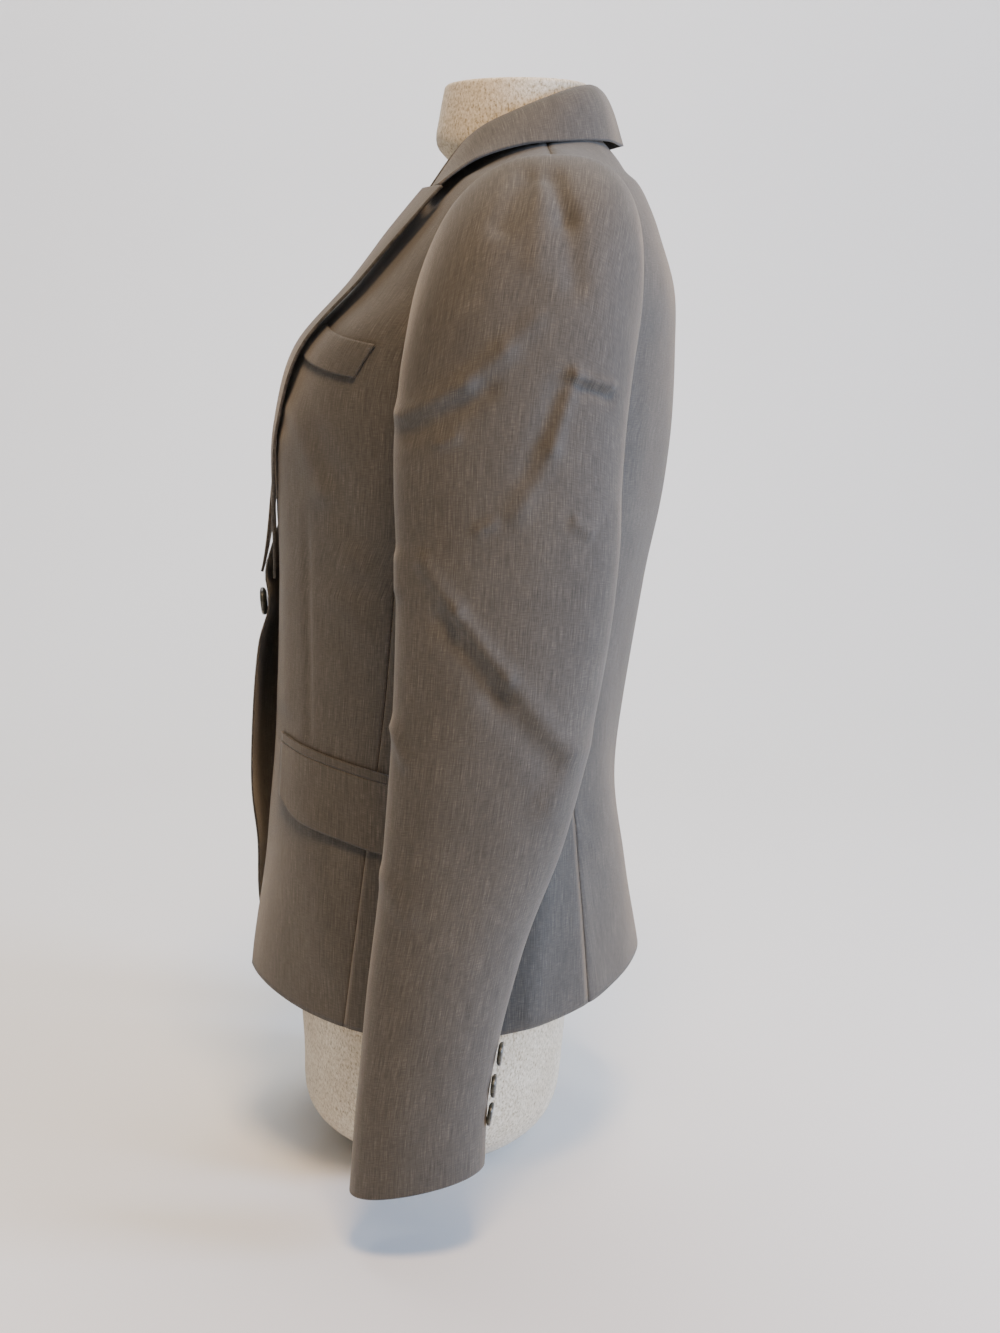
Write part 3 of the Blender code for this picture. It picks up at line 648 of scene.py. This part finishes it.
# ================================================================ sleeves
# Two-piece sleeves: a topsleeve that shows and a narrower undersleeve, eased into the
# armhole over a soft roll of wadding, with three horn buttons at the back of the cuff.
Sleeve = namedtuple("Sleeve", "out_x out_y out_z in_x in_y in_z half_depth power rake")
SLEEVE = [Sleeve(*row) for row in (
    (0.181, 0.074, 0.6655, 0.166, 0.033, 0.485, 0.0680, 2.6, 0.00),
    (0.203, 0.074, 0.6760, 0.171, 0.035, 0.480, 0.0690, 2.5, 0.00),
    (0.238, 0.069, 0.6520, 0.177, 0.037, 0.474, 0.0695, 2.4, 0.00),
    (0.260, 0.059, 0.6080, 0.181, 0.039, 0.468, 0.0695, 2.3, 0.00),
    (0.269, 0.051, 0.5550, 0.184, 0.041, 0.461, 0.0690, 2.3, 0.00),
    (0.272, 0.046, 0.5000, 0.185, 0.043, 0.448, 0.0680, 2.3, 0.00),
    (0.272, 0.045, 0.4400, 0.186, 0.044, 0.425, 0.0670, 2.3, 0.00),
    (0.270, 0.038, 0.3500, 0.187, 0.038, 0.3500, 0.0630, 2.3, 0.06),
    (0.268, 0.024, 0.2570, 0.189, 0.024, 0.2570, 0.0570, 2.3, 0.16),
    (0.268, 0.005, 0.1780, 0.193, 0.005, 0.1780, 0.0480, 2.2, 0.22),
    (0.268, -0.009, 0.1000, 0.198, -0.009, 0.1000, 0.0425, 2.2, 0.20),
    (0.267, -0.013, 0.0480, 0.200, -0.013, 0.0480, 0.0425, 2.2, 0.20),
)]
CUFF = len(SLEEVE) - 1
SETTLE = 2.0               # rows over which a sleeve is eased onto its armhole
SLEEVE_SEAT = 0.0012
FRONT_SLEEVE_SEAM = 1.95   # angles round the sleeve, 0 at its outer side
BACK_SLEEVE_SEAM = -1.75
HALF_SEAM_ANGLE = 0.004


def sleeve_ring(row, angle):
    outer = Vector((row.out_x, row.out_y, row.out_z))
    inner = Vector((row.in_x, row.in_y, row.in_z))
    e = 2 / row.power
    forward = row.half_depth * power(sin(angle), e)
    return ((outer + inner) / 2 + (outer - inner) / 2 * power(cos(angle), e)
            + Vector((0, -forward, -forward * row.rake)))


def armhole_point(angle, out):
    e = 2 / ARMHOLE_POWER
    lift = power(cos(angle), e)
    reach = SHOULDER_Z - ARMHOLE_MID_Z if lift > 0 else ARMHOLE_MID_Z - ARMPIT_Z
    z = ARMHOLE_MID_Z + lift * reach
    return side_point(armhole_mid(z) - ARMHOLE_HALF_DEPTH * power(sin(angle), e), z, out)


def sleeve_point(angle, t):
    point = sleeve_ring(blend_rows(SLEEVE, t), angle)
    if t < SETTLE:
        pull = armhole_point(angle, SLEEVE_SEAT) - sleeve_ring(SLEEVE[0], angle)
        point += pull * (1 - t / SETTLE) ** 2
    return point


def sleeve_surface(start, end):
    return lambda u, v: sleeve_point(start + (end - start) * u, CUFF * (1 - v))


for side, mirrored in (("left", False), ("right", True)):
    cloth("topsleeve_" + side,
          sleeve_surface(FRONT_SLEEVE_SEAM - HALF_SEAM_ANGLE, BACK_SLEEVE_SEAM + HALF_SEAM_ANGLE),
          150, 240, ["topsleeve_" + side], mirrored, SLEEVE_CREASES, "lrt",
          seed=0.7 if mirrored else 0.2)
    cloth("undersleeve_" + side,
          sleeve_surface(BACK_SLEEVE_SEAM + 2 * pi - HALF_SEAM_ANGLE,
                         FRONT_SLEEVE_SEAM + HALF_SEAM_ANGLE),
          60, 150, ["undersleeve_" + side], mirrored, (), "lrt", seed=0.7 if mirrored else 0.2)


# ================================================================ lapels and collar
# The lapels are the fronts' own facings turned back on a soft roll, and stand a few
# millimetres off the chest.  The collar is a fall on a low stand, sewn to them at the gorge.
LAPEL_CLOTH = 0.0018
LAPEL_SEAT = 0.00074
LAPEL_LIFT = 0.0116        # the upper lapel's foot stands off with the lap
TURN = 0.25                # share of the width over which the roll turns over
Collar = namedtuple("Collar", "seam_x seam_y seam_z roll_x roll_y roll_z edge_x edge_y edge_z")
COLLAR = [Collar(*row) for row in (
    (0.0000, 0.1160, 0.7060, 0.0000, 0.1145, 0.7385, 0.0000, 0.1335, 0.6995),
    (0.0350, 0.1070, 0.7030, 0.0340, 0.1060, 0.7365, 0.0430, 0.1200, 0.6990),
    (0.0540, 0.0860, 0.6990, 0.0545, 0.0840, 0.7285, 0.0730, 0.0920, 0.6965),
    (0.0570, 0.0600, 0.6960, 0.0590, 0.0550, 0.7170, 0.0870, 0.0600, 0.6935),
    (0.0510, 0.0260, 0.6880, 0.0560, 0.0240, 0.7000, 0.0950, 0.0300, 0.6840),
)]
NOTCH = 0.86               # share of the lapel's top that the collar is sewn to
GORGE_GAP = 0.0010
TUCK_Y = 0.058
GORGE_TUCK = (-0.003, 0.006, 0.0015)      # from the roll to the seam at the gorge
BELLY = 0.0035             # how far the fall swells between its roll and its edge
BELLY_HIGH = 0.6           # below 1, the swell is nearer the roll
BELLY_LIFT = 0.4


def lapel_surface(extra):
    def surface(u, v):
        row = blend_rows(LAPEL, v * (len(LAPEL) - 1))
        x = row.roll_x + SEAM + (row.edge_x - row.roll_x) * u
        z = row.roll_z + (row.edge_z - row.roll_z) * u
        turn = min(1.0, u / TURN)
        start = row.roll_out * ROLL_SHARE + LAPEL_SEAT
        out = start + (row.roll_out - start) * turn * (2 - turn)
        out += (row.edge_out - row.roll_out) * u
        return front_point(x, z, LAPEL_CLOTH + out + extra * (1 - v) ** 3)
    return surface


def gorge_row():
    clear = Vector((0.0, GORGE_GAP, GORGE_GAP))
    roll, edge = (lapel_surface(0.0)(u, 1.0) + clear for u in (0.0, NOTCH))
    return Collar(*(roll + Vector(GORGE_TUCK)), *roll, *edge)


COLLAR.append(gorge_row())


def collar_points(v, first, last):
    s = 2 * v - 1
    row = blend_rows(COLLAR, min(1.0, abs(s)) * (len(COLLAR) - 1))
    flip = 1 if s >= 0 else -1
    return [Vector((getattr(row, p + "_x") * flip, getattr(row, p + "_y"),
                    getattr(row, p + "_z"))) for p in (first, last)]


def fall_surface(u, v):
    roll, edge = collar_points(v, "roll", "edge")
    out = Vector((edge.x - roll.x, edge.y - roll.y, 0.0)).normalized()
    belly = sin(pi * u ** BELLY_HIGH) * BELLY
    return roll + (edge - roll) * u + out * belly + Vector((0, 0, belly * BELLY_LIFT))


def stand_surface(u, v):
    seam, roll = collar_points(v, "seam", "roll")
    tuck = Vector((-roll.x, TUCK_Y - roll.y, 0)).normalized() * SEAM * 2
    return seam + (roll + tuck - Vector((0, 0, SEAM)) - seam) * u


for side, mirrored in (("left", False), ("right", True)):
    cloth("lapel_" + side, lapel_surface(LAPEL_LIFT if mirrored else 0.0), 40, 120,
          ["lapel_" + side], mirrored, thickness=LAPEL_CLOTH)
cloth("collar_fall", fall_surface, 30, 220, ["collar"], thickness=LAPEL_CLOTH, side=-1,
      turned=True)
cloth("collar_stand", stand_surface, 12, 200, ["collar_stand"], edges="l",
      turned=True)


# ================================================================ pockets
# A jet and a flap over each hip pocket, and a narrow welt on the left breast, cut from
# the same cloth and lying on the front.
POCKET_FORE_Y = -0.103
POCKET_AFT_Y = 0.006
POCKET_FORE_Z = 0.3010
POCKET_AFT_Z = 0.2780
JET_H = 0.006
JET_CLOTH = 0.0010
FLAP_H = 0.044
FLAP_CORNER = 0.018
WELT_FORE_X = 0.072
WELT_AFT_X = 0.153
WELT_FORE_Z = 0.5775
WELT_AFT_Z = 0.5628
WELT_H = 0.021
POCKET_OUT = 0.0017
CORNER_SCALE = 0.115       # what the whole length counts as when a corner is laid out
CORNER_DROP = 0.45         # how much of a corner's size the flap's end is shorter by
FLAP_LIFT = 0.0016         # how far a flap's lower edge stands off
WELT_SLANT = 0.006         # how far the welt's aft end leans forward at the bottom
WELT_OUT = 0.0004          # past a pocket's own stand-off


def pocket_surface(top, height, out, corner=0.0):
    def surface(u, v):
        y = POCKET_FORE_Y + (POCKET_AFT_Y - POCKET_FORE_Y) * u
        end = max(0.0, 1 - min(u, 1 - u) * CORNER_SCALE / corner) if corner else 0.0
        low = height - corner * CORNER_DROP * end * end
        z = POCKET_FORE_Z + (POCKET_AFT_Z - POCKET_FORE_Z) * u - top - low * (1 - v)
        return side_point(y, z, out + (FLAP_LIFT * (1 - v) if corner else 0.0))
    return surface


def welt_surface(u, v):
    x = WELT_FORE_X + (WELT_AFT_X - WELT_FORE_X) * u - WELT_SLANT * (1 - v) * u
    z = WELT_FORE_Z + (WELT_AFT_Z - WELT_FORE_Z) * u - WELT_H * (1 - v)
    return front_point(x, z, POCKET_OUT + WELT_OUT)


for side, mirrored in (("left", False), ("right", True)):
    cloth("pocket_jet_" + side, pocket_surface(0.0, JET_H, POCKET_OUT), 80, 6,
          ["pocket_jet_" + side], mirrored, BODY_CREASES, thickness=JET_CLOTH,
          seed=0.4 if mirrored else 0.0)
    cloth("pocket_flap_" + side, pocket_surface(JET_H + SEAM, FLAP_H, POCKET_OUT, FLAP_CORNER),
          90, 30, ["pocket_flap_" + side], mirrored, BODY_CREASES,
          seed=0.4 if mirrored else 0.0)
cloth("breast_welt", welt_surface, 60, 16, ["breast_welt"])


# ================================================================ buttons
# Turned buttons of polished dark horn with a raised rim and four holes, sewn on with
# grey thread: one at the front and three on each cuff.
horn, tree, shader = new_material("polished_horn", Roughness=0.32, IOR=1.55, Coat_Weight=0.3,
                                  Coat_Roughness=0.15)
place = node(tree, "TexCoord").outputs["Object"]
vein = noise_on(tree, place, (7.0, 7.0, 2.5), 4.0, 0.6)
tree.links.new(ramp(tree, vein, (0.35, "#23241f"), (0.52, "#3c3e37"), (0.68, "#646457")),
               shader.inputs["Base Color"])
thread, tree, shader = new_material("grey_thread", Roughness=0.8, Sheen_Weight=0.3)
place = node(tree, "TexCoord").outputs["Object"]
tree.links.new(ramp(tree, noise_on(tree, place, (0.5, 0.5, 0.5)), (0.3, "#4b463f"), (0.7, "#6f685d")),
               shader.inputs["Base Color"])
BUTTON_ROUND = 40
# Half a button's section, from the middle of its back to the middle of its face, as
# shares of its radius and of its height.
BUTTON_OUTLINE = (
    (0.0, -0.5), (0.75, -0.5), (0.96, -0.2), (1.0, 0.1), (0.97, 0.42),
    (0.88, 0.5), (0.74, 0.36), (0.60, 0.26), (0.0, 0.26))
HOLES = 4
HOLE_RING = 0.22           # in shares of the radius
KNOT = 0.11                # a knot of thread at a hole, in shares of the radius
KNOT_FLAT = 0.6
KNOT_AT = 0.28             # in shares of the button's height
FRONT_BUTTON = (0.020, 0.004)     # across and high
CUFF_BUTTON = (0.015, 0.003)
BODY_MIDDLE = (0.0, 0.03)         # x and y that a button faces away from
CUFF_MIDDLE = (0.233, -0.011)


def sewn_button(name, cad_node, diameter, height):
    """A turned button in the place of its CAD node, with thread knots for its four holes."""
    corners = [Vector(c.co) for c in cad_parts[cad_node].data.vertices]
    centre = sum(corners, Vector()) / len(corners)
    far = max(corners, key=lambda c: (c - centre).length)
    normal = Vector()
    for corner in corners:
        across = (far - centre).cross(corner - centre)
        normal += across if across.dot(normal) >= 0 else -across
    normal.normalize()
    middle_x, middle_y = CUFF_MIDDLE if cad_node.startswith("cuff") else BODY_MIDDLE
    if centre.x < 0:
        middle_x = -middle_x
    if normal.dot(centre - Vector((middle_x, middle_y, centre.z))) < 0:
        normal = -normal
    turn = Vector((0, 0, 1)).rotation_difference(normal).to_matrix()
    bm = bmesh.new()
    radius = diameter / 2
    rows = [bm.verts.new((radius * r, 0, height * h)) for r, h in BUTTON_OUTLINE]
    outline = [bm.edges.new(pair) for pair in zip(rows, rows[1:])]
    bmesh.ops.spin(bm, geom=rows + outline, cent=(0, 0, 0), axis=(0, 0, 1), angle=2 * pi,
                   steps=BUTTON_ROUND, use_merge=True, use_duplicate=False)
    bmesh.ops.remove_doubles(bm, verts=bm.verts[:], dist=1e-6)
    bmesh.ops.recalc_face_normals(bm, faces=bm.faces[:])
    for vert in bm.verts:
        vert.co = turn @ vert.co + centre
    made = add_piece(name, bm, horn, [cad_node])
    made.data.set_sharp_from_angle(angle=radians(60))
    bm = bmesh.new()
    for k in range(HOLES):
        angle = pi / HOLES + k * 2 * pi / HOLES
        hole = Vector((cos(angle), sin(angle), 0)) * radius * HOLE_RING
        knot = bmesh.ops.create_uvsphere(bm, u_segments=10, v_segments=6, radius=radius * KNOT)
        for vert in knot["verts"]:
            vert.co.x = vert.co.x + hole.x
            vert.co.y = vert.co.y + hole.y
            vert.co.z = vert.co.z * KNOT_FLAT + height * KNOT_AT
            vert.co = turn @ vert.co + centre
    add_piece(name + "_thread", bm, thread, [])


sewn_button("front_button_horn", "front_button", *FRONT_BUTTON)
for side in ("left", "right"):
    for number in (1, 2, 3):
        sewn_button(f"cuff_button_horn_{side}_{number}", f"cuff_button_{side}_{number}",
                    *CUFF_BUTTON)


# ================================================================ studio
# A pale sweep of paper behind and under the form, a warm soft light above the wearer's
# left shoulder, and cool daylight from behind.
FLOOR = 3.2                # half the sweep's size
FLOOR_DROP = 0.0005        # just under the base
BEND_AT = 1.4              # how far beyond the form the paper starts to rise
BEND_RADIUS = 0.9
CLIMB = 4                  # stretches the part past the bend, to well above the form
bm = bmesh.new()
bmesh.ops.create_grid(bm, x_segments=60, y_segments=4, size=FLOOR)
for vert in bm.verts:
    past = -vert.co.x - BEND_AT
    vert.co.z = -FLOOR_DROP
    if past > 0:
        bend = min(1.0, past / BEND_AT) * pi / 2
        vert.co.x = -BEND_AT - BEND_RADIUS * sin(bend)
        vert.co.z = BEND_RADIUS * (1 - cos(bend)) + max(0.0, past - BEND_AT) * CLIMB
paper, tree, shader = new_material("white_paper", Roughness=0.95)
place = node(tree, "TexCoord").outputs["Object"]
tree.links.new(ramp(tree, noise_on(tree, place, (900, 900, 900)), (0.3, "#f4f3f1"), (0.7, "#f8f8f7")),
               shader.inputs["Base Color"])
mesh = bpy.data.meshes.new("paper_sweep")
bmesh.ops.recalc_face_normals(bm, faces=bm.faces[:])
bm.to_mesh(mesh)
bm.free()
mesh.materials.append(paper)
for face in mesh.polygons:
    face.use_smooth = True
sweep = bpy.data.objects.new("paper_sweep", mesh)
bpy.context.scene.collection.objects.link(sweep)

Lamp = namedtuple("Lamp", "name at aim size watts colour")
for lamp in (
    Lamp("key_above", (1.25, 0.15, 2.3), (0.1, 0.0, 0.4), 0.55, 52, "#ffd9ae"),
    Lamp("backdrop", (-1.0, 0.0, 2.9), (-2.1, 0.0, 0.5), 1.6, 60, "#ffffff"),
    Lamp("day_back", (0.8, 2.0, 0.9), (0.0, 0.1, 0.4), 0.9, 66, "#bdd6ff"),
):
    light = bpy.data.lights.new(lamp.name, "AREA")
    light.shape = "SQUARE"
    light.size = lamp.size
    light.energy = lamp.watts
    light.color = linear(lamp.colour)[:3]
    made = bpy.data.objects.new(lamp.name, light)
    made.location = lamp.at
    aim = Vector(lamp.aim) - Vector(lamp.at)
    made.rotation_euler = aim.to_track_quat("-Z", "Y").to_euler()
    bpy.context.scene.collection.objects.link(made)

# The room is darker on the side the wearer faces than behind the back.
world = bpy.data.worlds.new("studio")
world.use_nodes = True
tree = world.node_tree
toward = node(tree, "SeparateXYZ", Vector=node(tree, "TexCoord").outputs["Generated"])
glow = node(tree, "MapRange", Value=toward.outputs["Y"], From_Min=-1.0, From_Max=1.0,
            To_Min=0.03, To_Max=0.62)
tree.nodes["Background"].inputs["Color"].default_value = linear("#f4f6fa")
tree.links.new(glow.outputs["Result"], tree.nodes["Background"].inputs["Strength"])
bpy.context.scene.world = world
